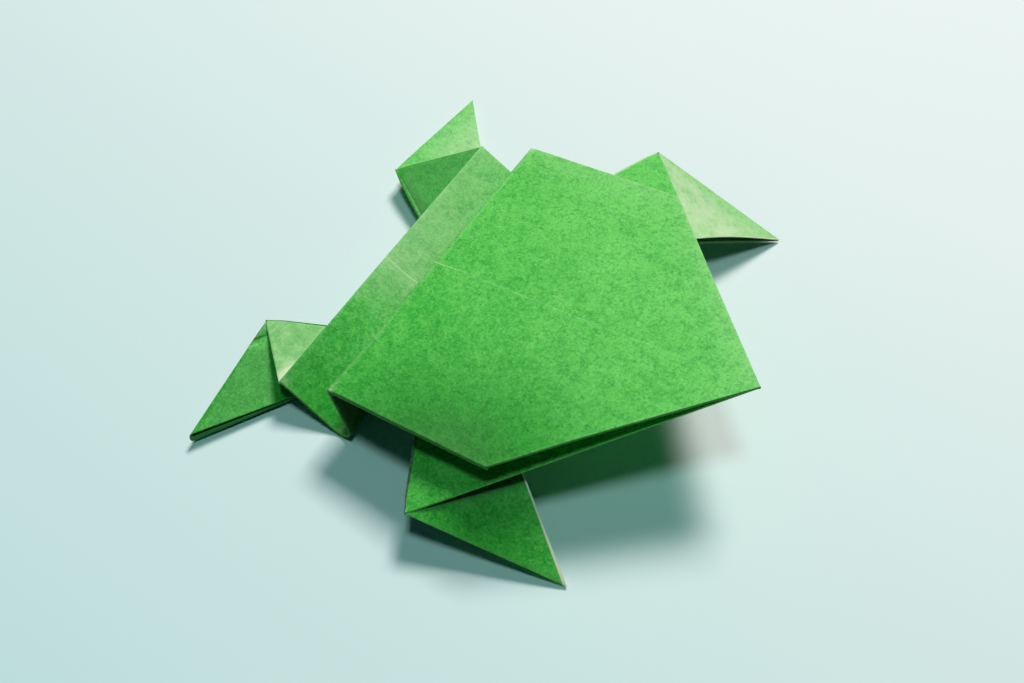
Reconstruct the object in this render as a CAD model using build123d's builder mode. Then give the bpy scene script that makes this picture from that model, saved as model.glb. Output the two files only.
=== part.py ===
from build123d import *
from math import asin, cos, radians, sin, sqrt, tan
import os

os.makedirs("parts", exist_ok=True)

# Jumping frog folded from one sheet of paper, nose along +X, resting on Z = 0.
# Every panel is drawn through the middle of its layers, in mm and degrees.

# Sheet of paper, whose folded body is half as wide as the flat sheet
sheet_width = 100.0
paper = 0.2

# Head panel, hinged on the mountain fold across the back
nose_height = 20.0
fold_height = 10.7
head_skew = 0.8

# Pleat behind the head panel, which gives the spring
riser_length = 12.4
riser_lean = 17.5
strip_length = 14.2
strip_rise = 28.0
valley_radius = 1.8

# Creases that narrow the legs, at these angles from the edge of the sheet
front_crease = 25.6
hind_crease = 23.3

# Elbows and toes of the front legs, near side at -Y and far side at +Y
near_elbow_heading = -133.7
near_elbow_height = 6.7
far_elbow_heading = 134.2
far_elbow_height = 11.0
near_toe_heading = 13.8
far_toe_heading = 9.9
toe_height = 0.4
near_toe_opening = 0.5
far_toe_opening = 0.9

# Knees and heels of the hind legs
near_knee_heading = 138.5
near_knee_height = 1.6
far_knee_heading = -133.5
far_knee_height = 4.0
near_heel_heading = -80.9
near_heel_height = 2.1
far_heel_heading = 88.9
far_heel_height = 0.5
near_heel_opening = 1.8
far_heel_opening = 0.4

# Worn folds and corners stand out by this much past the layers that they join
fold_swell = 1.15
corner_swell = 1.3

# Counted in layers: slit between loose layers, and how far pressed ones share a face
slit = 0.25
sunk = 0.5

# Lengths that follow from the sheet
half = sheet_width / 2
side = half / 2
diagonal = Vector(half, half).length
leaf = 2 * paper
front_share = 1 / (1 + tan(radians(front_crease)))
hind_share = 1 / (1 + tan(radians(hind_crease)))
lip_length = front_share * diagonal
front_foot = (1 - front_share) * diagonal
haunch_edge = (hind_share - 0.5) * diagonal
hind_foot = (1 - hind_share) * diagonal


def reach(start, length, heading, height):
    """Next crease point, at a true length from start, in a heading, at a height."""
    across = sqrt(length**2 - (height - start.Z) ** 2)
    turn = radians(heading)
    return Vector(start.X + across * cos(turn), start.Y + across * sin(turn), height)


# Head plane: local X toward the nose, local Y across, local Z up through the layers
head_rise = asin((nose_height - fold_height) / half)
head = Plane(
    origin=(0, 0, fold_height),
    x_dir=(cos(head_rise), 0, sin(head_rise)),
    z_dir=(-sin(head_rise), 0, cos(head_rise)),
)
turn = radians(head_skew)


def on_head(along, across, under=0.0):
    """Point of the head panel, some paper layers under its middle."""
    x = along * cos(turn) - across * sin(turn)
    y = along * sin(turn) + across * cos(turn)
    return head.from_local_coords(Vector(x, y, -under * paper))


nose = on_head(half, 0)
near_cheek = on_head(side, -side)
far_cheek = on_head(side, side)
middle = Vector(0, 0, fold_height)
near_hip = Vector(0, -side, fold_height)
far_hip = Vector(0, side, fold_height)
throat = on_head(5 * paper, 0, under=4)

# Pleat planes: local X along the paper, local Y across, local Z to its outer side
lean = radians(riser_lean)
rise = radians(strip_rise)
riser = Plane(
    origin=middle,
    x_dir=(sin(lean), 0, -cos(lean)),
    z_dir=(cos(lean), 0, sin(lean)),
)
valley = riser.from_local_coords(Vector(riser_length, 0, 0))
strip = Plane(
    origin=valley,
    x_dir=(-cos(rise), 0, sin(rise)),
    z_dir=(-sin(rise), 0, -cos(rise)),
)
ridge = strip.from_local_coords(Vector(strip_length, 0, 0))
near_rump = ridge - Vector(0, side, 0)
far_rump = ridge + Vector(0, side, 0)

# Rounded valley fold: the bend takes this length off both straight runs
fold_angle = radians(90 - riser_lean - strip_rise)
set_back = valley_radius / tan(fold_angle / 2)
bend_length = valley_radius * (radians(180) - fold_angle)
riser_flat = riser_length - set_back
strip_flat = riser_flat + bend_length
narrow = tan(radians(22.5))

# Points of both sides: sign -1 is the near side and +1 the far side
elbows = {
    -1: reach(nose, lip_length, near_elbow_heading, near_elbow_height),
    1: reach(nose, lip_length, far_elbow_heading, far_elbow_height),
}
toes = {
    -1: reach(elbows[-1], front_foot, near_toe_heading, toe_height),
    1: reach(elbows[1], front_foot, far_toe_heading, toe_height),
}
knees = {
    -1: reach(near_rump, haunch_edge, near_knee_heading, near_knee_height),
    1: reach(far_rump, haunch_edge, far_knee_heading, far_knee_height),
}
heels = {
    -1: reach(knees[-1], hind_foot, near_heel_heading, near_heel_height),
    1: reach(knees[1], hind_foot, far_heel_heading, far_heel_height),
}
cheeks = {-1: near_cheek, 1: far_cheek}
hips = {-1: near_hip, 1: far_hip}
toe_openings = {-1: near_toe_opening, 1: far_toe_opening}
heel_openings = {-1: near_heel_opening, 1: far_heel_opening}
layer = Vector(0, 0, paper)
loose = layer * (1 + slit) / 2
loose_pair = 2 + slit

# Four leg layers lie outside the two of the pleat, from the middle of those two
leg_layers = 4
leg_middle = (1 + leg_layers / 2) * paper
leg_block = leg_layers + sunk
block_middle = leg_middle - sunk * paper / 2

# Flat panels as corners and number of layers, folds as ends and number of layers
panels = [([nose, near_cheek, near_hip, far_hip, far_cheek], 2)]
jaw_tip = on_head(half, 0, under=2)
panels.append(([nose, middle, throat, jaw_tip], 2))
folds = [(near_hip, far_hip, 2), (near_rump, far_rump, 2)]
open_folds = []
corners_seen = [([nose, near_hip, far_hip, near_rump, far_rump], 2)]
corners_seen += [([near_cheek, far_cheek], 2), ([*elbows.values(), *knees.values()], 4)]
for sign in (-1, 1):
    cheek, hip, elbow, toe = cheeks[sign], hips[sign], elbows[sign], toes[sign]
    knee, heel = knees[sign], heels[sign]

    # Corner tucked in between the two layers of the head, in front of the hip
    low_cheek = cheek - 2 * paper * head.z_dir
    low_hip = hip - 2 * paper * head.z_dir
    tuck = [cheek, hip, middle]
    tuck_middle = head.z_dir * (-1.5 * paper)
    panels.append(([p + tuck_middle for p in tuck], 3))
    folds += [(nose, cheek, 2), (cheek, hip, 2), (low_cheek, low_hip, 2)]

    # Jaw, which hangs from the middle of the head and opens as a mouth
    panels.append(([jaw_tip, throat, elbow + layer], 2))
    folds += [(jaw_tip, elbow + layer, 2), (throat - layer, elbow, 4)]

    # Front leg, folded forward under the jaw, its two raw edges a little apart
    root = throat - 2 * layer
    fold_start = elbow - layer
    part = Vector(0, 0, toe_openings[sign] / 2)
    panels.append(([root + part, fold_start + loose, toe + loose], 1))
    panels.append(([root - part, fold_start - loose, toe - loose], 1))
    folds.append((fold_start, toe, loose_pair))

    # Leg layers in front of the riser and pressed under the strip
    top = riser.from_local_coords(Vector(0, 0, block_middle))
    inner = riser.from_local_coords(
        Vector(riser_flat, sign * riser_flat * narrow, block_middle)
    )
    outer = riser.from_local_coords(
        Vector(riser_flat, sign * riser_flat, block_middle)
    )
    panels.append(([top, inner, outer], leg_block))
    inner = Vector(set_back, sign * strip_flat * narrow, 0)
    outer = Vector(set_back, sign * strip_flat, 0)
    corner = Vector(strip_length, sign * side, 0)
    pressed = [p + Vector(0, 0, block_middle) for p in (inner, outer, corner)]
    panels.append(([strip.from_local_coords(p) for p in pressed], leg_block))

    # Haunch, which comes out from under the strip and droops to the knee
    rump = strip.from_local_coords(corner + Vector(0, 0, 2 * paper))
    groin = strip.from_local_coords(inner + Vector(0, 0, 2 * paper))
    panels.append(([rump, groin, knee + layer], 2))
    folds.append((rump, knee + layer, 2))

    # Hind leg, folded outward under the haunch, its two raw edges a little apart
    low_groin = strip.from_local_coords(inner + Vector(0, 0, 4 * paper))
    root = strip.from_local_coords(outer + Vector(0, 0, 4 * paper))
    fold_start = knee - layer
    part = Vector(0, 0, heel_openings[sign] / 2)
    panels.append(([low_groin, root, fold_start], 2))
    panels.append(([root + loose, fold_start + loose, heel + part], 1))
    panels.append(([root - loose, fold_start - loose, heel - part], 1))
    folds.append((root, fold_start, loose_pair))
    open_folds.append((fold_start, heel, 1 + heel_openings[sign] / paper))
    folds.append(((groin + low_groin) / 2, knee, 4))

# Leg layers that go round the outside of the valley fold, one side of the body
with BuildPart() as bundle:
    bisector = (strip.x_dir + riser.x_dir * -1).normalized()
    corner = valley - bisector * (leg_middle / sin(fold_angle / 2))
    # The path runs past both ends of the bend, and the wedge below trims it
    reach_out = set_back + leg_middle + valley_radius
    with BuildLine() as bend:
        FilletPolyline(
            corner - riser.x_dir * reach_out,
            corner,
            corner + strip.x_dir * reach_out,
            radius=valley_radius + leg_middle,
        )
    start = Plane(origin=bend.line @ 0, x_dir=(0, 1, 0), z_dir=bend.line % 0)
    with BuildSketch(start):
        Rectangle(2 * side, leg_block * paper)
    sweep(path=bend.line)
    run = (valley_radius + leg_middle) * cos(fold_angle / 2)
    end = run + leg_middle
    mean, spread = (strip_flat + riser_flat) / 2, (strip_flat - riser_flat) / 2
    least, most = mean - spread * end / run, mean + spread * end / run
    across = Plane(origin=valley, x_dir=(0, 1, 0), z_dir=bisector)
    way = 1 if across.y_dir.X < 0 else -1
    hub = valley_radius / sin(fold_angle / 2)
    with BuildSketch(across.offset(hub)):
        Polygon(
            (least * narrow, -way * end),
            (least, -way * end),
            (most, way * end),
            (most * narrow, way * end),
            align=None,
        )
    extrude(amount=-3 * hub, mode=Mode.INTERSECT)

# The folded sheet
with BuildPart() as frog:
    # Riser, rounded valley fold and strip, whose sides are folds too
    with BuildLine() as pleat:
        FilletPolyline(middle, valley, ridge, radius=valley_radius)
    start = Plane(origin=pleat.line @ 0, x_dir=(0, 1, 0), z_dir=pleat.line % 0)
    with BuildSketch(start):
        SlotOverall(2 * side + leaf, leaf)
    sweep(path=pleat.line)
    add(bundle.part)
    mirror(bundle.part, about=Plane.XZ)

    for corners, layers in panels:
        first, second, third = corners[0], corners[1], corners[2]
        flat = Plane(
            origin=first,
            x_dir=second - first,
            z_dir=(second - first).cross(third - first),
        )
        with BuildSketch(flat):
            with BuildLine():
                Polyline(*[flat.to_local_coords(p) for p in corners], close=True)
            make_face()
        extrude(amount=layers * paper / 2, both=True)

    for first, second, layers in folds:
        length = (second - first).length
        with BuildSketch(Plane(origin=first, z_dir=second - first)):
            Circle(layers * paper / 2 * fold_swell)
        extrude(amount=length)
    # The fold along each hind foot opens like a cone towards its heel
    for first, second, layers in open_folds:
        with Locations(Plane(origin=first, z_dir=second - first)):
            Cone(
                loose_pair * paper / 2 * fold_swell,
                layers * paper / 2 * fold_swell,
                (second - first).length,
                align=(Align.CENTER, Align.CENTER, Align.MIN),
            )
    for points, layers in corners_seen:
        with Locations(*points):
            Sphere(layers * paper / 2 * corner_swell)

# Resting on Z = 0 with the middle of its plan at the origin
box = frog.part.bounding_box()
centre = box.center()
frog.part = frog.part.moved(Location((-centre.X, -centre.Y, -box.min.Z)))
frog.part.label = "folded_sheet"
export_step(frog.part, "parts/folded_sheet.step")
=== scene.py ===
"""Jumping frog folded from one sheet of green craft paper, on a pale floor."""

import bpy
import numpy as np
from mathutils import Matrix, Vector


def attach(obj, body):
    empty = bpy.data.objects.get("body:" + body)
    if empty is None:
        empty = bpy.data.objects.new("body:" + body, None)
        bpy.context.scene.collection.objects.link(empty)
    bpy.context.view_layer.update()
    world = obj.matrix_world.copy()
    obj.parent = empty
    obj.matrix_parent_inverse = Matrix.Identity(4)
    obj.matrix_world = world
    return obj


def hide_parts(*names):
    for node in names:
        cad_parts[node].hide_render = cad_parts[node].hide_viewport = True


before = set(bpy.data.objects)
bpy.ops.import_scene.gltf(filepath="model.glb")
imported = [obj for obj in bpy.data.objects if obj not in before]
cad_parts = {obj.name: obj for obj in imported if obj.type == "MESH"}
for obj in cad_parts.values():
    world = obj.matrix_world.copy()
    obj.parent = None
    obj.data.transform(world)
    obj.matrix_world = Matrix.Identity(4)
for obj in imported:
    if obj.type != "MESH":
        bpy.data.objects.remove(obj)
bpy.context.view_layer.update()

# Body of the folded sheet: stout craft paper, 100 by 150 mm flat and green on both faces
# Head, riser, valley fold and strip are one band of two layers. It is folded by hand,
# pressed and let go with nothing glued, so the pleat behind the head stands as a spring.

# Millimetres, as in the CAD source: nose along +X, near side at -Y. Points are worked out
# from the middle of the mountain fold, then moved so that the frame's origin is under the
# middle of the plan. HALF is half of the sheet's width, and SIDE half of the body's.
MM_PER_METRE = 1000
PAPER = 0.2
HALF = 50.0
SIDE = HALF / 2
TO_FRAME = np.array([-14.97, -0.43, 0.32])
NOSE_HEIGHT, FOLD_HEIGHT = 20.0, 10.7
RISER, LEAN = 12.4, np.radians(17.5)
STRIP, RISE = 14.2, np.radians(28.0)
MOUNTAIN_RADIUS, VALLEY_RADIUS = 0.35, 1.8


def rounded_path(corners, radii, step):
    """Polyline with an arc at each inner corner: points, unit tangents and lengths along it.

    Each arc touches both straight runs at radius times the tangent of half the turn."""
    points, tangents = [], []
    arc_points = 24
    start = corners[0]
    for k, radius in enumerate(radii):
        corner, after = corners[k + 1], corners[k + 2]
        way_in = (corner - corners[k]) / np.linalg.norm(corner - corners[k])
        way_out = (after - corner) / np.linalg.norm(after - corner)
        turn = np.arctan2(np.cross(way_in, way_out), way_in @ way_out)
        back = radius * np.tan(abs(turn) / 2)
        first = corner - back * way_in
        n = max(int(np.linalg.norm(first - start) / step), 2)
        points.append(start + np.linspace(0, 1, n, endpoint=False)[:, None] * (first - start))
        tangents.append(np.tile(way_in, (n, 1)))
        side = np.sign(turn) * np.array([-way_in[1], way_in[0]])
        hub = first + radius * side
        angles = np.linspace(0, abs(turn), arc_points + 1)[:-1, None]
        points.append(hub - radius * side * np.cos(angles) + radius * way_in * np.sin(angles))
        tangents.append(way_in * np.cos(angles) + side * np.sin(angles))
        start = corner + back * way_out
    end = corners[-1]
    n = max(int(np.linalg.norm(end - start) / step), 2)
    points.append(start + np.linspace(0, 1, n)[:, None] * (end - start))
    tangents.append(np.tile(way_out, (n, 1)))
    points, tangents = np.concatenate(points), np.concatenate(tangents)
    lengths = np.concatenate([[0], np.cumsum(np.linalg.norm(np.diff(points, axis=0), axis=1))])
    return points, tangents, lengths


# Seen from the side: nose, mountain fold, valley fold and ridge, with both folds rounded
head_rise = np.arcsin((NOSE_HEIGHT - FOLD_HEIGHT) / HALF)
mountain_2d = np.array([0.0, FOLD_HEIGHT])
nose_2d = mountain_2d + HALF * np.array([np.cos(head_rise), np.sin(head_rise)])
valley_2d = mountain_2d + RISER * np.array([np.sin(LEAN), -np.cos(LEAN)])
ridge_2d = valley_2d + STRIP * np.array([-np.cos(RISE), np.sin(RISE)])
path_points, path_tangents, path_lengths = rounded_path(
    [nose_2d, mountain_2d, valley_2d, ridge_2d], [MOUNTAIN_RADIUS, VALLEY_RADIUS], 0.25
)
# Length along the paper is counted from the mountain fold, negative towards the nose
path_lengths = path_lengths - HALF
STRIP_END = path_lengths[-1]
VALLEY_TURN = np.pi / 2 + LEAN + RISE
valley_start = RISER - VALLEY_RADIUS / np.tan((np.pi - VALLEY_TURN) / 2)
valley_end = valley_start + VALLEY_RADIUS * VALLEY_TURN


def on_path(s, y, t):
    """Point of the pleated body: s along the paper, y across, t up from its middle.

    It is the path's point at s, plus t along the normal; past both ends it goes straight on."""
    beyond = np.minimum(s - path_lengths[0], 0) + np.maximum(s - STRIP_END, 0)
    x, z, tx, tz = (
        np.interp(s, path_lengths, column)
        for column in (*path_points.T, *path_tangents.T)
    )
    return np.stack([x + tx * beyond + tz * t, y, z + tz * beyond - tx * t], axis=-1)


# How the worn body leaves its flat panels: place along and across, width and height in mm
SETTLED = [
    (-25.0, -25.0, 6.0, -0.75),
    (-1.0, -25.0, 5.0, 0.65),
    (0.0, 0.0, 14.0, 0.35),
    (-48.0, 0.0, 8.0, 0.3),
    (11.5, -25.0, 4.0, -0.75),
    (-14.0, 8.0, 5.0, 0.12),
    (-30.0, -6.0, 4.0, -0.12),
    (17.0, 9.0, 3.0, 0.15),
    (18.0, -12.0, 4.0, -0.1),
]
HEAD_SKEW = np.radians(0.8)


def body_point(s, y, t):
    """Body point after the head's skew and the settling of worn panels.

    The head turns sideways by the skew, in full from the cheeks on. Each settled place
    lifts the paper by its height times a bell curve of its width."""
    along = np.maximum(-s, 0)
    share = np.minimum(along / SIDE, 1)
    moved_s = s + np.where(s < 0, y * np.sin(HEAD_SKEW) * share, 0)
    moved_y = y * (1 - share * (1 - np.cos(HEAD_SKEW))) + along * np.sin(HEAD_SKEW)
    point = on_path(moved_s, moved_y, t)
    point[..., 2] += sum(
        height * np.exp(-((s - place_s) ** 2 + (y - place_y) ** 2) / (2 * width**2))
        for place_s, place_y, width, height in SETTLED
    )
    return point


# The sheet's mesh is gathered surface by surface, each a grid of points joined by quads
gathered = {"points": [], "faces": [], "uv": [], "wear": [], "core": [], "painted_light": [], "cut": []}


def add_grid(points, uv, wear, core=0.0, painted_light=0.0, cut=False, wrap=False, flip=False):
    """Adds rows by columns of points, each quad between four neighbours.

    uv is their place on the sheet in mm, wear how rubbed a point is, core how much of the
    cream core shows there, and fade how much painted light is on its green: a painted sheen
    that pales it above 0, painted shade that darkens it below 0. cut marks the faces of a cut
    edge, wrap closes the rows, and flip turns the faces over."""
    rows, columns = points.shape[:2]
    first = sum(len(p) for p in gathered["points"])
    index = first + np.arange(rows * columns).reshape(rows, columns)
    if wrap:
        index = np.concatenate([index, index[:, :1]], axis=1)
    quads = np.stack([index[:-1, :-1], index[1:, :-1], index[1:, 1:], index[:-1, 1:]], axis=-1)
    quads = quads.reshape(-1, 4)
    gathered["points"].append(points.reshape(-1, 3))
    gathered["faces"].append(quads[:, ::-1] if flip else quads)
    gathered["uv"].append(uv.reshape(-1, 2))
    for name, value in (("wear", wear), ("core", core), ("painted_light", painted_light)):
        gathered[name].append(np.broadcast_to(value, (rows, columns)).reshape(-1))
    gathered["cut"].append(np.full(len(quads), cut))


# Points round each folded edge, and how far from it the paper is rubbed
ROUND_POINTS = 7
RUBBED_WIDTH = 0.3


def add_leaf(stations, inner, outer, offset, half_thick, across, wear_at=None, painted_light_at=None):
    """Two pressed layers that follow the body: a flat band with round folds all round it.

    At each station along the paper the section is a stadium from inner to outer across,
    and both ends close by shrinking it round a quarter circle. Columns lie a little closer
    together at the folds."""
    end_rows = 5
    theta = np.linspace(0, np.pi / 2, end_rows + 1)[:-1]
    grow = np.concatenate([np.sin(theta), np.ones(len(stations)), np.sin(theta)[::-1]])
    ends = half_thick * np.cos(theta)
    s = np.concatenate([stations[0] - ends, stations, stations[-1] + ends[::-1]])
    low, high = (np.pad(edge, end_rows, mode="edge")[:, None] for edge in (inner, outer))
    eased = (1 - np.cos(np.linspace(0, np.pi, across))) / 2
    share = 0.35 * eased + 0.65 * np.linspace(0, 1, across)
    bend = np.linspace(-np.pi / 2, np.pi / 2, ROUND_POINTS + 2)[1:-1]
    swell = half_thick * np.cos(bend)[None, :] * grow[:, None]
    y = np.concatenate(
        [low + share * (high - low), high + swell, high + share * (low - high), low - swell],
        axis=1,
    )
    ring = np.concatenate([np.ones(across), np.sin(-bend), -np.ones(across), np.sin(bend)])
    t = ring[None, :] * half_thick * grow[:, None]
    s = np.broadcast_to(s[:, None], y.shape)
    points = body_point(s, y, t + offset)
    from_fold = np.minimum(np.abs(y - low), np.abs(y - high))
    wear = 0.1 * np.exp(-from_fold / RUBBED_WIDTH)
    wear = np.clip(wear + (0 if wear_at is None else wear_at(s, y)), 0, 1)
    # Painted light of each point, if given: painted sheen above 0, painted shade below 0
    painted_light = 0 if painted_light_at is None else painted_light_at(s, y)
    add_grid(points, np.stack([y, s], axis=-1), wear, painted_light=painted_light, wrap=True)


def stations_between(first, last, step, folds=()):
    """Places along the paper a step apart, and much closer just round the folds given."""
    fold_reach, fold_step = 1.2, 0.12
    s = np.arange(first, last, step)
    near = [np.arange(fold - fold_reach, fold + fold_reach, fold_step) for fold in folds]
    s = np.unique(np.round(np.concatenate([s, [first, last], *near]), 3))
    return s[(s >= first) & (s <= last)]


def bell(distance, width):
    """Smooth hump of height 1: e to minus the square of distance over width."""
    return np.exp(-((distance / width) ** 2))


# The half width grows from the nose at 45 degrees to half the body at the cheeks
valley_s = np.arange(valley_start - 0.5, valley_end + 0.5, 0.2)
body_s = stations_between(-HALF, STRIP_END, 0.8, (-HALF + 1.2, -SIDE, 0.0))
body_s = np.unique(np.round(np.concatenate([body_s, valley_s]), 2))
half_width = np.minimum(body_s + HALF, SIDE)


def body_painted_light(s, y):
    """Painted light on the body: a value for strip, riser and head, each with its own hills.

    A painted sheen pales the strip towards its far end and its ridge, and the head beside its
    far edges. Painted shade darkens the strip's near end, the riser, the head's near side and
    the near round fold."""
    strip = np.clip((s - valley_end) / (STRIP_END - valley_end), 0, 1)
    far_end = np.clip((y + SIDE) / (2 * SIDE), 0, 1)
    on_strip = np.interp(far_end, [0, 0.12, 0.3, 0.5, 1], [-0.9, -0.65, -0.1, 0.22, 0.06])
    on_strip = 0.1 * strip + on_strip
    widest = np.minimum(SIDE, s + HALF)
    # The near side's hill of painted shade is 12 mm wide across the head and 20 mm wide along it
    near_side = bell(y + SIDE, 12) * bell(s + 20, 20)
    on_head = 0.14 * np.exp(-(widest - y) / 2.5) - 1.45 * near_side
    riser_start = 0.6
    on_riser = np.interp(s, [riser_start, 1.2, valley_start, valley_end], [-1, -2, -2, -1.2])
    pale = np.where(s > riser_start, on_riser, on_head)
    pale = np.where(s > valley_end, on_strip, pale)
    # Painted shade on the round fold at the head's near edge
    near_fold = -1.5
    return np.where(-y > widest, near_fold, pale)


def body_wear(s, y):
    """Rubbed lines along the mountain fold and the ridge, strongest at their ends.

    Each line is a bell across the fold, and each corner a bell round the end of it."""
    mountain, ridge = abs(s + 0.45), abs(s - STRIP_END + 0.35)
    lines = 0.25 * bell(mountain, 0.25) + 0.2 * bell(ridge, 0.22)
    return lines + 0.6 * bell(SIDE - abs(y), 1.0) * bell(np.minimum(mountain, ridge), 0.5)


add_leaf(body_s, -half_width, half_width, 0.0, PAPER, across=68, wear_at=body_wear,
         painted_light_at=body_painted_light)

# Corner tucks: the sheet's front corners, folded in between the layers of the head
# There is one on each side, of two more layers, a triangle from cheek to hip to the
# middle of the mountain fold. The pressed head holds them.
tuck_s = stations_between(-SIDE, -0.6, 1.0)
for sign in (-1, 1):
    inner, outer = -tuck_s, np.full(len(tuck_s), SIDE)
    low, high = (inner, outer) if sign > 0 else (-outer, -inner)
    # Painted shade all over the tucks, which lie between the head's layers
    add_leaf(tuck_s, low, high, -2 * PAPER, PAPER, across=30,
             painted_light_at=lambda s, y: np.full(s.shape, -1.2))

# Leg layers: four on each side in front of the riser, round the valley fold and under the
# strip, where the legs' upper ends are held. They lie between lines at 22.5 and 45
# degrees from the middle of the mountain fold, and narrow again under the strip.
leg_s = stations_between(0.6, STRIP_END - 0.4, 0.5)
leg_s = np.unique(np.round(np.concatenate([leg_s, valley_s]), 2))
narrow = np.tan(np.radians(22.5))
groin_y = valley_end * narrow
under_strip = np.clip((leg_s - valley_end) / (STRIP_END - valley_end), 0, 1)
inner = np.where(leg_s < valley_end, leg_s * narrow,
                 groin_y + under_strip * (SIDE - groin_y) * 0.97)
outer = np.maximum(leg_s * SIDE / STRIP_END, inner + 0.05)
for low, high in ((-outer, -inner), (inner, outer)):
    for offset in (-2 * PAPER, -4 * PAPER):
        add_leaf(leg_s, low, high, offset, PAPER, across=20)

# Jaw and front legs: the sheet's front flaps, two layers folded together under the head
# The jaw hangs from the throat line and its lip is a fold. Each leg lies close under the
# jaw, swings forward, and springs down from there to its toe, where its raw edges show.


def add_bent_leaf(apex, crease_end, side_a, side_b, opening, painted_light, bulge=None, band=None,
                  rim_core=1.0, crease_wear=0.25, under=None, under_plies=None,
                  sheet=(90.0, 0.0)):
    """Two layers folded together along a crease, closed at its apex and open at the cut.

    q runs along the crease, from 0 at apex to 1 at crease_end, and r across it, from -1 at
    the far end of side a through 0 at the crease to 1 at the far end of side b. Each cross
    line is the one through crease_end and that side's points, shrunk by q towards the
    apex, and turns round the crease on an arc. The two layers stand off that middle
    surface along its normal, and round folds join them at both ends of r.

    opening gives, at q and r, the gap in mm from the middle to the layer on the outside of
    the fold, and to the other one; bulge is how far both rise. fade is the painted light at a
    place, a painted sheen above 0 and painted shade below 0; band is how wide in mm the cream
    core shows along the cut at r, rim_core how much of it the cut edge shows, and crease_wear
    how rubbed the crease is. under is the painted shade of side b's layer on the outside of
    the fold, which then shows no core, and under_plies how much thicker more layers make it.
    sheet is the apex's place on the flat sheet in mm, clear of the sheet's middle crease."""
    columns, arc_columns, rows, cap_rows = 30, 9, 28, 4
    crease = crease_end - apex
    length = np.linalg.norm(crease)
    crease_way = crease / length
    # Powers a little over 1 crowd the columns at the crease and the rows at the apex
    outward = np.linspace(0, 1, columns) ** 1.15
    even = np.linspace(0, 1, rows) ** 1.3

    def side_line(chain):
        """Cross line of one side at the cut, from the crease outwards, evenly by length.

        Also the way it leaves the crease, the side's unit normals and the line's length."""
        corners = np.array([crease_end, *chain]) - crease_end
        steps = np.linalg.norm(np.diff(corners, axis=0), axis=1)
        total = np.concatenate([[0], np.cumsum(steps)])
        line = np.stack([np.interp(outward * total[-1], total, c) for c in corners.T], axis=-1)
        way = np.gradient(line, axis=0)
        out = way[0] - (way[0] @ crease_way) * crease_way
        face = np.cross(crease + line, way)
        face /= np.linalg.norm(face, axis=1)[:, None]
        return line, out / np.linalg.norm(out), face, total[-1]

    line_a, out_a, face_a, reach_a = side_line(side_a)
    line_b, out_b, face_b, reach_b = side_line(side_b)
    # Each side's outer face looks away from the other side
    face_a *= -np.sign(face_a[0] @ out_b)
    face_b *= -np.sign(face_b[0] @ out_a)
    past_crease = -(out_a + out_b)
    past_crease -= (past_crease @ face_a[0]) * face_a[0]
    past_crease /= np.linalg.norm(past_crease)
    turn = np.arccos(np.clip(face_a[0] @ face_b[0], -1, 1))
    angles = np.linspace(0, turn, arc_columns + 2)[:, None]
    arc = np.cos(angles) * face_a[0] + np.sin(angles) * past_crease

    # A few rows close the leaf before the apex, where its layers are pressed tight, and
    # close rows in the last millimetre before the cut hold the edge of the cream band
    cap = PAPER / length
    start = -cap * np.cos(np.linspace(0, np.pi / 2, cap_rows + 1)[:-1])
    cut_reach, cut_step = 1.2, 0.15
    last = 1 - np.arange(cut_reach, -0.01, -cut_step) / length
    q = np.concatenate([start, even[even < last[0] - 2 * cut_step / length], last])
    tight, full_from = 0.45, 2.5
    grow = np.sqrt(1 - np.clip(-q / cap, 0, 1) ** 2)
    grow *= tight + (1 - tight) * np.clip(q * length / full_from, 0, 1)
    grow = grow[:, None]

    centre = (apex + q[:, None] * crease)[:, None]
    scale = np.maximum(q, 0)
    lift = (PAPER * (1 - outward) * grow)[..., None]
    middle_at = np.concatenate([
        (centre + scale[:, None, None] * line_a + lift * face_a)[:, ::-1],
        centre + PAPER * grow[..., None] * arc[1:-1],
        centre + scale[:, None, None] * line_b + lift * face_b,
    ], axis=1)
    face = np.concatenate([face_a[::-1], arc[1:-1], face_b])
    r = np.concatenate([-outward[::-1], np.zeros(arc_columns), outward])
    q, r = np.meshgrid(scale, r, indexing="ij")
    if bulge is not None:
        middle_at[..., 2] += bulge(q, r)
    out_line = np.gradient(middle_at, axis=1)
    out_line /= np.maximum(np.linalg.norm(out_line, axis=2), 1e-9)[..., None]
    above, below = opening(q, r)
    plies = 0.0 if under_plies is None else under_plies(q, r) * (r > 0) * grow

    def loop(share):
        """Closed surface at a share of each layer's thickness, 0 its inside, 1 its outside.

        Each end of r closes on a half ellipse between the layers, a little flattened."""
        thick = share * PAPER * grow
        top = middle_at + (thick + share * plies + above)[..., None] * face
        low = middle_at - (thick + below)[..., None] * face
        rounds = []
        for end, way in ((-1, 1), (0, -1)):
            hub = (top[:, end] + low[:, end]) / 2
            arm = (top[:, end] - low[:, end]) / 2
            tall = np.linalg.norm(arm, axis=1)
            out = way * out_line[:, end] * np.minimum(tall, PAPER + 0.25 * tall)[:, None]
            bend = np.linspace(0, np.pi, ROUND_POINTS + 2)[1:-1, None]
            rounds.append(
                hub[:, None] + way * np.cos(bend) * arm[:, None] + np.sin(bend) * out[:, None]
            )
        return np.concatenate([top, rounds[0], low[:, ::-1], rounds[1]], axis=1)

    def around(outer, inner):
        """Values of the fold's outer and inner layer, in the order of a closed ring."""
        return np.concatenate([
            outer, np.repeat(outer[:, -1:], ROUND_POINTS, 1),
            inner[:, ::-1], np.repeat(inner[:, :1], ROUND_POINTS, 1),
        ], axis=1)

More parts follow.
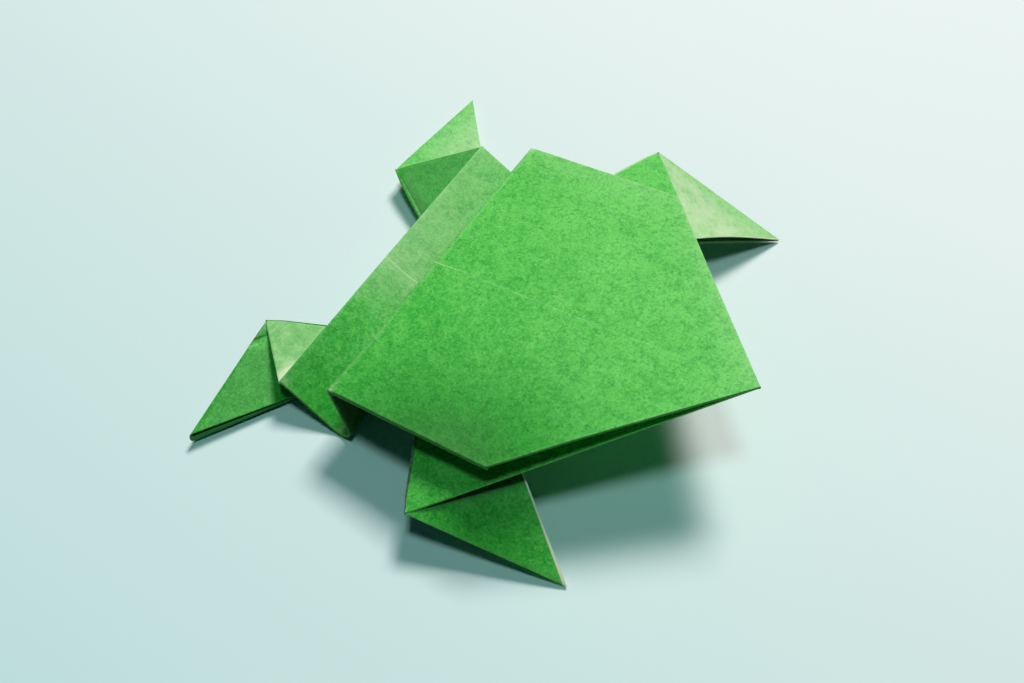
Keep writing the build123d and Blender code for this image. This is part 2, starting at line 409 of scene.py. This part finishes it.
    from_crease = np.where(r < 0, -r * reach_a, r * reach_b) * q
    from_end = np.where(r < 0, reach_a, reach_b) * q - from_crease
    uv = np.stack([sheet[0] + np.where(r < 0, -from_crease, from_crease),
                   sheet[1] + q * length], axis=-1)
    uv = around(uv, uv)
    fold_wear, crease_width = 0.08, 0.25
    wear = fold_wear * np.exp(-from_end / RUBBED_WIDTH)
    wear = wear + crease_wear * np.exp(-from_crease / crease_width) * (np.abs(r) < 0.5)
    wear = np.clip(around(wear, wear), 0, 1)
    band_blur = 0.12
    wide = -1.0 if band is None else band(r)
    core = np.clip(0.5 + (wide - (1 - q) * length) / band_blur, 0, 1)
    # Painted sheen and painted shade of each place; side b's layer beneath may get its own painted
    # shade
    pale = painted_light(q, r)
    rim = np.full(r[:1].shape, rim_core)
    dark = under is not None
    beneath = (r > 0) & dark
    painted_light_ring = around(np.where(beneath, under if dark else 0, pale), pale)
    core_ring = around(np.where(beneath, 0, core), core)
    rim_ring = around(np.where(beneath[:1], 0, rim), rim)
    outside, inside = loop(1.0), loop(0.02)
    add_grid(outside, uv, wear, core=core_ring, painted_light=painted_light_ring, wrap=True, flip=True)
    add_grid(inside, uv, 0.0, core=core_ring, painted_light=painted_light_ring, wrap=True)

    # The cut edge is four lines of points from inside to outside. Where little core shows,
    # it is a thin line at the inner side of each cut.
    much_core = rim_core > 0.5
    share = np.array([0, 0.14, 0.2, 1])[:, None]
    shown = np.ones((4, 1)) if much_core else np.array([1, 1, 0, 0])[:, None]
    cut = inside[-1] + share[..., None] * (outside[-1] - inside[-1])
    add_grid(cut, np.repeat(uv[-1:], 4, 0), 0.0, core=rim_ring * shown,
             painted_light=np.repeat(painted_light_ring[-1:], 4, 0), cut=much_core and not dark,
             wrap=True, flip=True)


def reach(start, length, heading, height):
    """Crease point at a true length from start, in a heading in degrees, at a height.

    Its plan length is the root of the length squared less the rise squared."""
    across = np.sqrt(length**2 - (height - start[2]) ** 2)
    turn = np.radians(heading)
    return np.array([start[0] + across * np.cos(turn), start[1] + across * np.sin(turn), height])


def sprung(start, bend, end, before=0.3, after=0.4):
    """Line from start to end that turns at bend on a short parabola: its later points.

    before and after are the shares of the two straight runs that the turn takes."""
    turn = np.linspace(0, 1, 9)[:, None]
    first, last = bend + before * (start - bend), bend + after * (end - bend)
    curve = (1 - turn) ** 2 * first + 2 * turn * (1 - turn) * bend + turn**2 * last
    return [*curve, end]


def past(r, share):
    """How far r has gone from this share to 1, as a share of that way, from 0 to 1."""
    return np.clip((r - share) / (1 - share), 0, 1)


# The crease's angle in degrees sets where the elbow parts a flap's edge into lip and foot
DIAGONAL = 2**0.5 * HALF
FRONT_CREASE = 25.6
front_share = 1 / (1 + np.tan(np.radians(FRONT_CREASE)))
lip_length, front_foot = front_share * DIAGONAL, (1 - front_share) * DIAGONAL
TOE_HEIGHT = 0.15
nose = body_point(-HALF, 0.0, 0.0)
jaw_tip = nose - np.array([0.3, 0, 2 * PAPER])
throat = body_point(-1.0, 0.0, -5 * PAPER)
elbow_n = reach(nose, lip_length, -133.7, 6.7)
elbow_f = reach(nose, lip_length, 134.2, 11.0)
toe_n = reach(elbow_n, front_foot, 13.8, TOE_HEIGHT)
toe_f = reach(elbow_f, front_foot, 9.9, TOE_HEIGHT)
# Where each leg leaves the jaw and springs down, and the gap where layers are pressed
spring_n = np.array([26.5, -19.6, 9.9])
spring_f = np.array([27.1, 24.3, 8.9])
PRESSED = 0.02


def near_front_painted_light(q, r):
    """Painted shade: jaw a little darker; leg darker, less so at its cut, darkest beneath the lip.
    """
    leg = -0.5 + 0.6 * past(q, 0.65) - 2 * bell(np.maximum(r - 0.68, 0), 0.035)
    return np.where(r < 0, -0.3, leg)


def hump(q, r, power, start):
    """Arch of the cut edge from start to the leg's end: a half sine times a power of q."""
    return q**power * np.sin(np.pi * past(r, start))


add_bent_leaf(
    elbow_n, throat, [jaw_tip], sprung(throat, spring_n, toe_n),
    opening=lambda q, r: (PRESSED + 0.15 * hump(q, r, 3, 0.5), PRESSED),
    band=lambda r: 0.15 + 0.75 * past(r, 0.45) - 1.2 * (r < 0.3), painted_light=near_front_painted_light,
)
# Far front leg: painted shade on the jaw and the layer beneath, painted sheen on the foot, a
# little less near its end
add_bent_leaf(
    elbow_f, throat, [jaw_tip], sprung(throat, spring_f, toe_f), rim_core=0.9,
    opening=lambda q, r: (PRESSED + 0.5 * hump(q, r, 5, 0.3), PRESSED + 0.7 * hump(q, r, 5, 0.6)),
    under=-2.0, under_plies=lambda q, r: 0.7 * hump(q, r, 5, 0.3), sheet=(90.0, 60.0),
    band=lambda r: 0.2 * past(r, 0.6) - 0.5 * (r < 0.6),
    painted_light=lambda q, r: np.where(r < 0, -0.2, 0.72 - 0.4 * past(r, 0.85)),
)

# Haunches and hind legs: the sheet's rear flaps, two layers held under the strip
# The haunch droops from the ridge to the knee, and the leg folds out below it. Lengths
# are a little short of the flat paper's, by what the round folds take.
HIND_CREASE = 23.3
hind_share = 1 / (1 + np.tan(np.radians(HIND_CREASE)))
haunch_edge, hind_foot = (hind_share - 0.5) * DIAGONAL, (1 - hind_share) * DIAGONAL
rump_n = body_point(STRIP_END, -SIDE, -2 * PAPER)
rump_f = body_point(STRIP_END, SIDE, -2 * PAPER)
knee_n = reach(rump_n, haunch_edge - 0.5, 138.5, 1.5)
knee_f = reach(rump_f, haunch_edge - 0.7, -133.5, 3.8)
heel_n = reach(knee_n, hind_foot - 0.5, -80.9, 1.9)
heel_f = reach(knee_f, hind_foot - 0.8, 88.9, 0.6)
groin_n = body_point(valley_end, -groin_y - 2.2, -3 * PAPER)
groin_f = body_point(valley_end, groin_y, -3 * PAPER)
root_n = body_point(valley_end, -valley_end * 0.98, -4 * PAPER)
root_f = body_point(valley_end, valley_end * 0.98, -4 * PAPER) + np.array([1.0, 3.0, 0.0])


def pinch(q, r):
    """Small buckle beside the near knee: a ridge and a dent across the leg's fold.

    It is a place along the crease times its bell, times a bell across the leg."""
    along = (q - 0.17) / 0.03
    return 0.7 * along * bell(along, 1) * bell(past(r, 0) - 0.75, 0.2) * (r > 0)


def near_hind_painted_light(q, r):
    """Near side: painted sheen on the haunch, with a painted highlight along the ridge near its
    corner, and painted shade on the leg, darkest beside the haunch where its shadow falls.

    The haunch's highlight is placed in plan, in mm from its corner at the ridge; the leg is a
    little paler near its cut end, and its buckle has a painted highlight and painted shade,
    as a pale bell and a dark one along the crease."""
    share = np.clip(-r, 0, 1)
    x, y = (
        knee_n[k] + q * ((1 - share) * (groin_n - knee_n)[k] + share * (rump_n - knee_n)[k])
        for k in (0, 1)
    )
    haunch = 0.33 + 0.9 * bell(rump_n[0] - x - 0.3, 1.1) * bell(y - rump_n[1] - 2, 2.6)
    leg = -0.8 - np.exp(-((past(r, 0) / 0.5) ** 4)) + 0.3 * past(r, 0.9) * past(q, 0.6)
    buckle = 1.1 * bell(q - 0.25, 0.045) - 1.4 * bell(q - 0.165, 0.025)
    return np.where(r < 0, haunch, leg + bell(past(r, 0) - 0.95, 0.35) * buckle)


def far_hind_painted_light(q, r):
    """Far side: painted shade on the haunch, most beside its round fold; painted sheen on the leg
    at its cut.
    """
    haunch = -1.05 - 0.6 * bell(r, 0.22)
    return np.where(r < 0, haunch, 0.45 * past(q, 0.3) ** 0.5 * (1 - 0.75 * past(r, 0.75)))


def gape(q, r, power_r, power_q):
    """How a leg's layers spring apart towards its toe: a power of r times a power of q."""
    return past(r, 0) ** power_r * q**power_q


# Near hind leg: painted shade on the layer beneath
add_bent_leaf(
    knee_n, groin_n, [rump_n], sprung(groin_n, root_n, heel_n, after=0.02),
    opening=lambda q, r: (PRESSED + 0.4 * gape(q, r, 2.2, 1.5), PRESSED + 0.3 * gape(q, r, 2, 1)),
    under=-1.3, under_plies=lambda q, r: gape(q, r, 2.2, 1.5), sheet=(90.0, 80.0),
    rim_core=0.3, crease_wear=0.0, bulge=pinch, painted_light=near_hind_painted_light,
)
add_bent_leaf(
    knee_f, groin_f, [rump_f], sprung(groin_f, root_f, heel_f, after=0.02),
    opening=lambda q, r: (PRESSED + 0.1 * gape(q, r, 2, 1), PRESSED + 0.15 * gape(q, r, 2.2, 1.5)),
    rim_core=0.12, crease_wear=0.0, sheet=(90.0, 160.0), painted_light=far_hind_painted_light,
)

# One mesh of all those panels, since the real thing is one uncut sheet
points = (np.concatenate(gathered["points"]) + TO_FRAME) / MM_PER_METRE
faces = np.concatenate(gathered["faces"])
is_cut = np.concatenate(gathered["cut"])
mesh = bpy.data.meshes.new("folded_paper")
mesh.vertices.add(len(points))
mesh.vertices.foreach_set("co", points.ravel())
mesh.loops.add(faces.size)
mesh.loops.foreach_set("vertex_index", faces.ravel().astype(np.int32))
mesh.polygons.add(len(faces))
mesh.polygons.foreach_set("loop_start", np.arange(0, faces.size, 4, dtype=np.int32))
mesh.polygons.foreach_set("material_index", is_cut.astype(np.int32))
mesh.polygons.foreach_set("use_smooth", ~is_cut)
uv_layer = mesh.uv_layers.new(name="sheet_mm")
uv_layer.data.foreach_set("uv", np.concatenate(gathered["uv"])[faces.ravel()].ravel())
for name in ("wear", "core", "painted_light"):
    mesh.attributes.new(name, "FLOAT", "POINT").data.foreach_set(
        "value", np.concatenate(gathered[name]).astype(np.float32))
mesh.validate()
mesh.update()
frog = bpy.data.objects.new("folded_paper", mesh)
bpy.context.scene.collection.objects.link(frog)
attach(frog, "root")
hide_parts("folded_sheet")


def linear(code):
    """Linear colour of an sRGB hex code, by the sRGB curve."""
    value = np.array([int(code[k:k + 2], 16) for k in (1, 3, 5)]) / 255
    low = value / 12.92
    return (*np.where(value <= 0.04045, low, ((value + 0.055) / 1.055) ** 2.4), 1.0)


def new_material(name):
    """Material with nodes; returns it with its node tree and its Principled shader."""
    material = bpy.data.materials.new(name)
    material.use_nodes = True
    tree = material.node_tree
    return material, tree, tree.nodes["Principled BSDF"]


def add_node(tree, kind, *inputs, out=0, **settings):
    """Adds one node: settings are its properties, and inputs fill its sockets in turn.

    An input is a number, a colour or another node's output, and None leaves it as it is."""
    node = tree.nodes.new("ShaderNode" + kind)
    for name, value in settings.items():
        setattr(node, name, value)
    for socket, value in zip(node.inputs, inputs):
        if isinstance(value, bpy.types.NodeSocket):
            tree.links.new(value, socket)
        elif value is not None:
            socket.default_value = value
    return node.outputs[out]


# Green craft paper: uncoated wood-pulp paper, dyed green, calendered to a dull sheen
# To the eye it is matt and mottled, with pale and dark fibres in it, and whiter where a fold
# is rubbed. Its green is painted paler towards the frog's far right side, a painted sheen, and
# single panels carry painted sheen or painted shade.
# Sizes in mm: clouds of 9, patches of 1.8, blotches of 0.8 and fibres of 0.36. Real fibres
# are much finer, and are drawn as coarse as they need to be to show. Grain of 0.7 breaks
# up the rubbed lines, and the sheet's middle crease wanders by 0.25 in every 3.8.
CLOUD, PATCH, BLOTCH, FIBRE = 1 / 0.11, 1 / 0.56, 1 / 1.3, 1 / 2.8
GRAIN, WANDER = 1 / 1.5, 1 / 0.26
green, tree, shader = new_material("green_craft_paper")
shader.inputs["Roughness"].default_value = 0.5
shader.inputs["Specular IOR Level"].default_value = 0.3
place = add_node(tree, "TexCoord", out="Object")
clouds = add_node(tree, "TexNoise", place, None, MM_PER_METRE / CLOUD, 3, 0.6)
patches = add_node(tree, "TexNoise", place, None, MM_PER_METRE / PATCH, 3, 0.65)
blotches = add_node(tree, "TexNoise", place, None, MM_PER_METRE / BLOTCH, 4, 0.65)
fibres = add_node(tree, "TexNoise", place, None, MM_PER_METRE / FIBRE, 3, 0.7)
grain = add_node(tree, "TexNoise", place, None, MM_PER_METRE / GRAIN, 5, 0.75)
wander = add_node(tree, "TexNoise", place, None, MM_PER_METRE / WANDER, 2, 0.5)
# Painted light of each point: painted sheen above 0, painted shade below 0
painted_light = add_node(tree, "Attribute", attribute_name="painted_light", out="Fac")
wear = add_node(tree, "Attribute", attribute_name="wear", out="Fac")
core = add_node(tree, "Attribute", attribute_name="core", out="Fac")
# Painted sheen: the green pales over 65 mm towards the far right, unevenly by the clouds
far_right = add_node(
    tree, "VectorMath", place, (0.46, 0.89, 0), operation="DOT_PRODUCT", out="Value")
painted_lit_side = add_node(tree, "MapRange", far_right, -0.035, 0.03)
uneven = add_node(tree, "MapRange", clouds, 0.3, 0.7, -0.2, 0.2)
painted_lit_side = add_node(tree, "Math", painted_lit_side, uneven, operation="ADD", use_clamp=True)
colour = add_node(tree, "MixRGB", painted_lit_side, linear("#12a626"), linear("#66cc5c"))
# Pale and dark places of each pattern: where it starts, where it is full, how much, colour
for pattern, first, full, most, tint in (
    (patches, 0.48, 0.74, 0.5, "#74d062"),
    (patches, 0.5, 0.28, 0.45, "#0a8c22"),
    (blotches, 0.46, 0.72, 0.55, "#5cc84c"),
    (blotches, 0.5, 0.28, 0.5, "#088a20"),
    (fibres, 0.53, 0.7, 0.6, "#84d668"),
    (fibres, 0.46, 0.3, 0.75, "#06801e"),
):
    amount = add_node(tree, "MapRange", pattern, first, full, 0, most)
    colour = add_node(tree, "MixRGB", amount, colour, linear(tint))
# Painted shade: panels darkened where shade falls on them, in two steps
painted_shade = add_node(tree, "MapRange", painted_light, 0, -1)
colour = add_node(tree, "MixRGB", painted_shade, colour, linear("#95d2a6"), blend_type="MULTIPLY")
painted_dark_shade = add_node(tree, "MapRange", painted_light, -1, -2)
colour = add_node(tree, "MixRGB", painted_dark_shade, colour, linear("#7c957c"), blend_type="MULTIPLY")
# Painted sheen on panels, rubbed folds and the faint crease along the middle of the sheet
mottled = add_node(tree, "MapRange", patches, 0.3, 0.7, 0.65, 1.25)
painted_sheen = add_node(tree, "Math", painted_light, mottled, operation="MULTIPLY", use_clamp=True)
colour = add_node(tree, "MixRGB", painted_sheen, colour, linear("#c3d8ae"))
rubbing = add_node(tree, "MapRange", grain, 0.35, 0.65, 0.1, 0.8)
rubbed = add_node(tree, "Math", wear, rubbing, operation="MULTIPLY")
colour = add_node(tree, "MixRGB", rubbed, colour, linear("#c4e6ac"))
sheet_place = add_node(tree, "TexCoord", out="UV")
across = add_node(tree, "SeparateXYZ", sheet_place, out=0)
along = add_node(tree, "SeparateXYZ", sheet_place, out=1)
wander = add_node(tree, "MapRange", wander, 0, 1, -0.25, 0.25)
across = add_node(tree, "Math", across, wander, operation="ADD")
across = add_node(tree, "Math", across, operation="ABSOLUTE")
near_fold = add_node(tree, "MapRange", along, -6, 1, 0.1, 0.6)
crease_line = add_node(tree, "MapRange", across, 0.17, 0.05)
crease_line = add_node(tree, "Math", crease_line, near_fold, operation="MULTIPLY")
colour = add_node(tree, "MixRGB", crease_line, colour, linear("#b9e0a4"))
colour = add_node(tree, "MixRGB", core, colour, linear("#e4e8c8"))
tree.links.new(colour, shader.inputs["Base Color"])
# Relief of a tenth of a millimetre at most
height = add_node(tree, "Math", blotches, fibres, operation="ADD")
height = add_node(tree, "Math", height, crease_line, operation="SUBTRACT")
bump = add_node(tree, "Bump", 0.35, 0.0001, None, height)
tree.links.new(bump, shader.inputs["Normal"])
mesh.materials.append(green)

# Cream paper core: the undyed pulp that a knife leaves bare at the sheet's cut edge
# To the eye it is a thin, even, quite matt cream line.
cream, tree, shader = new_material("cream_paper_core")
shader.inputs["Base Color"].default_value = linear("#e9edcf")
shader.inputs["Roughness"].default_value = 0.9
mesh.materials.append(cream)

# Floor: a large sheet of pale aqua card, matt and smooth, laid flat under the frog
# It is painted a little paler towards the frog's far side, a painted pool of the lamps' light.
# Far out, where the lamps' light falls off, it shows the camera its own pale colour, so that
# low views have a pale ground too.
FLOOR_HALF = 3.0
PALE = linear("#dce9e6")
floor_mesh = bpy.data.meshes.new("floor")
floor_mesh.from_pydata(
    [(x * FLOOR_HALF, y * FLOOR_HALF, 0) for x, y in ((-1, -1), (1, -1), (1, 1), (-1, 1))],
    [], [(0, 1, 2, 3)])
floor = bpy.data.objects.new("floor", floor_mesh)
bpy.context.scene.collection.objects.link(floor)
aqua, tree, shader = new_material("pale_aqua_card")
shader.inputs["Roughness"].default_value = 0.95
shader.inputs["Specular IOR Level"].default_value = 0.1
place = add_node(tree, "TexCoord", out="Object")
# Painted light: the card is painted paler towards the far side, where the window lamp stands
far_side = add_node(
    tree, "VectorMath", place, (0.1, 0.99, 0), operation="DOT_PRODUCT", out="Value")
painted_lit_side = add_node(tree, "MapRange", far_side, -0.09, 0.065)
card = add_node(tree, "MixRGB", painted_lit_side, linear("#bfddda"), linear("#dae4e1"))
tree.links.new(card, shader.inputs["Base Color"])
far_out = add_node(tree, "VectorMath", place, operation="LENGTH", out="Value")
faded = add_node(tree, "MapRange", far_out, 0.25, 0.7)
to_camera = add_node(tree, "LightPath", out="Is Camera Ray")
shown = add_node(tree, "Math", faded, to_camera, operation="MULTIPLY")
glow = add_node(tree, "Emission", PALE, 1.0)
card_seen = add_node(tree, "MixShader", shown, shader.outputs[0], glow)
tree.links.new(card_seen, tree.nodes["Material Output"].inputs["Surface"])
floor_mesh.materials.append(aqua)

# Sky: a dim blue for the light in the shadows, and the floor's pale colour to the camera
world = bpy.data.worlds.new("studio")
bpy.context.scene.world = world
world.use_nodes = True
tree = world.node_tree
dim = tree.nodes["Background"]
dim.inputs["Color"].default_value = linear("#5fb4cc")
dim.inputs["Strength"].default_value = 0.06
to_camera = add_node(tree, "LightPath", out="Is Camera Ray")
pale_sky = add_node(tree, "Background", PALE, 1.0)
sky_seen = add_node(tree, "MixShader", to_camera, dim.outputs[0], pale_sky)
tree.links.new(sky_seen, tree.nodes["World Output"].inputs["Surface"])

# Lamps: two soft square ones, a metre from the frog. The window stands high on the frog's
# far side and gives the shadows. The ceiling lamp is cooler and weaker, almost overhead,
# and fills them.


def look_at(obj, place, target):
    """Puts an object at a place, with its own -Z towards the target."""
    obj.location = place
    way = Vector(np.array(target) - np.array(place))
    obj.rotation_euler = way.to_track_quat("-Z", "Y").to_euler()


def add_lamp(name, azimuth, elevation, size, energy, colour):
    """Square lamp that faces the frog from a metre away, at angles in degrees."""
    turn, rise = np.radians(azimuth), np.radians(elevation)
    place = np.array([np.cos(rise) * np.cos(turn), np.cos(rise) * np.sin(turn), np.sin(rise)])
    light = bpy.data.lights.new(name, "AREA")
    light.size, light.energy, light.color = size, energy, colour
    lamp = bpy.data.objects.new(name, light)
    bpy.context.scene.collection.objects.link(lamp)
    look_at(lamp, place, (0, 0, 0))


add_lamp("window", azimuth=98.0, elevation=59.0, size=0.28, energy=10.3,
         colour=(1.0, 0.885, 0.89))
add_lamp("ceiling", azimuth=-60.0, elevation=84.0, size=0.15, energy=2.8,
         colour=(0.62, 1.0, 0.97))

# Camera: at the photograph's angle, with a 50 mm lens on a 36 mm frame
# It aims at a point on the floor near the middle of the frog. Azimuth is counted from the
# near side, and distance in metres.
AZIMUTH, ELEVATION = np.radians(32.825), np.radians(57.078)
DISTANCE = 0.20535
aim = (np.array([12.35, 0.75, 0.0]) + TO_FRAME) / MM_PER_METRE
back = np.array([np.sin(AZIMUTH) * np.cos(ELEVATION), -np.cos(AZIMUTH) * np.cos(ELEVATION),
                 np.sin(ELEVATION)])
view = bpy.data.cameras.new("camera")
view.lens, view.sensor_width = 50, 36
camera = bpy.data.objects.new("camera", view)
bpy.context.scene.collection.objects.link(camera)
look_at(camera, aim + back * DISTANCE, aim)
bpy.context.scene.camera = camera
bpy.context.scene.view_settings.view_transform = "Standard"
